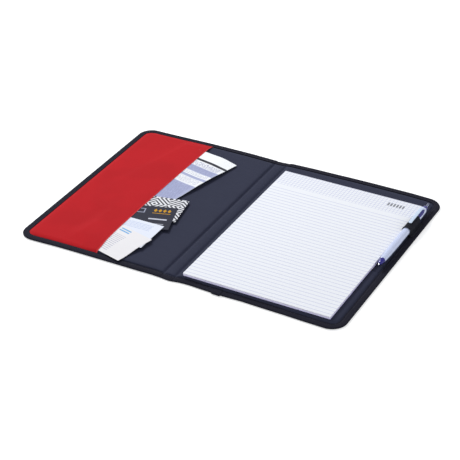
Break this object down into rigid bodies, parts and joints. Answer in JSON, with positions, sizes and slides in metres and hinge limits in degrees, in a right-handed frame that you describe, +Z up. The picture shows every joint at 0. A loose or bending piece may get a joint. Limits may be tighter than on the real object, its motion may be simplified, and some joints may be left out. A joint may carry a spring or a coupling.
{
  "type": "conference folder",
  "caption": "Padded folder lying open, with loose papers in its inner pocket, a writing pad whose card slides into a second pocket, and a click pen in a band loop.",
  "frame": {"origin": "below the middle of the open folder, on the surface that it lies on", "axes": "+X from the front cover to the back cover, +Y from the pad's tail to its head, +Z up out of the open folder"},
  "size_m": [0.48, 0.342, 0.0188],
  "materials": {
    "cover_skin": "fine grained black synthetic leather",
    "grey_board": "raw grey board",
    "padding": "thin foam sheet",
    "lining": "navy slate woven lining",
    "binding_tape": "black ribbed binding tape with lockstitch",
    "red_pocket": "red non-woven cloth",
    "loop_band": "black elastic band",
    "white_paper": "white bond paper, ruled",
    "gum": "gummed head of the pad",
    "white_plastic": "glossy white plastic",
    "pale_plastic": "glossy pale blue white plastic",
    "navy_plastic": "glossy navy plastic",
    "pen_metal": "bright metal",
    "leaflet_paper": "coated paper with tinted bands",
    "patterned_card": "coated card with a plain black and white pattern",
    "dark_card": "satin dark grey card",
    "pale_card": "pale card",
    "note_card": "off-white card"
  },
  "bodies": {
    "back_cover": {"back_outer_skin": "cover_skin", "back_board": "grey_board", "back_padding": "padding", "back_lining": "lining", "back_binding": "binding_tape", "pad_pocket": "lining", "pen_loop": "loop_band"},
    "spine": {"spine_outer_skin": "cover_skin", "spine_board": "grey_board", "spine_lining": "lining", "spine_head_binding": "binding_tape", "spine_tail_binding": "binding_tape"},
    "front_cover": {"front_outer_skin": "cover_skin", "front_board": "grey_board", "front_padding": "padding", "front_lining": "lining", "front_binding": "binding_tape", "front_pocket": "red_pocket"},
    "writing_pad": {"pad_backing_card": "grey_board", "pad_sheets": "white_paper", "pad_gum_strip": "gum"},
    "top_sheet": {"pad_top_sheet": "white_paper"},
    "pen": {"pen_barrel": "white_plastic", "pen_insert": "navy_plastic", "pen_tip": "navy_plastic", "pen_collar": "navy_plastic", "pen_clip": "pale_plastic", "pen_spring": "pen_metal"},
    "pen_cartridge": {"pen_button": "pale_plastic", "pen_refill": "pale_plastic", "pen_nib": "pen_metal"},
    "loose_leaflet": {"leaflet": "leaflet_paper"},
    "loose_patterned_card": {"patterned_card": "patterned_card"},
    "loose_dark_card": {"dark_card": "dark_card"},
    "loose_pale_card": {"pale_card": "pale_card"},
    "loose_note_card": {"note_card": "note_card"}
  },
  "joints": [
    {"name": "spine_fold", "type": "hinge", "parent": "back_cover", "child": "spine", "pos_m": [0, 0, 0.00135], "axis": [0, 1, 0], "range_deg": [0, 90]},
    {"name": "front_cover_fold", "type": "hinge", "parent": "spine", "child": "front_cover", "pos_m": [-0.0175, 0, 0.00135], "axis": [0, 1, 0], "range_deg": [0, 90]},
    {"name": "pad_slide", "type": "slide", "parent": "back_cover", "child": "writing_pad", "axis": [0, 1, 0], "range_m": [0, 0.14]},
    {"name": "top_sheet_turn", "type": "hinge", "parent": "writing_pad", "child": "top_sheet", "pos_m": [0.1149, 0.138, 0.0096], "axis": [-1, 0, 0], "range_deg": [0, 180]},
    {"name": "pen_slide", "type": "slide", "parent": "back_cover", "child": "pen", "axis": [0, 1, 0], "range_m": [-0.004, 0.135]},
    {"name": "pen_click", "type": "slide", "parent": "pen", "child": "pen_cartridge", "axis": [0, 1, 0], "range_m": [0, 0.004]},
    {"name": "leaflet_slide", "type": "slide", "parent": "front_cover", "child": "loose_leaflet", "axis": [0.9998, 0, 0.0192], "range_m": [0, 0.036]},
    {"name": "patterned_card_slide", "type": "slide", "parent": "front_cover", "child": "loose_patterned_card", "axis": [0.9998, 0, 0.0192], "range_m": [0, 0.036]},
    {"name": "dark_card_slide", "type": "slide", "parent": "front_cover", "child": "loose_dark_card", "axis": [0.9998, 0, 0.0192], "range_m": [0, 0.036]},
    {"name": "pale_card_slide", "type": "slide", "parent": "front_cover", "child": "loose_pale_card", "axis": [0.9998, 0, 0.0192], "range_m": [0, 0.036]},
    {"name": "note_card_slide", "type": "slide", "parent": "front_cover", "child": "loose_note_card", "axis": [0.9998, 0, 0.0192], "range_m": [0, 0.036]}
  ]
}
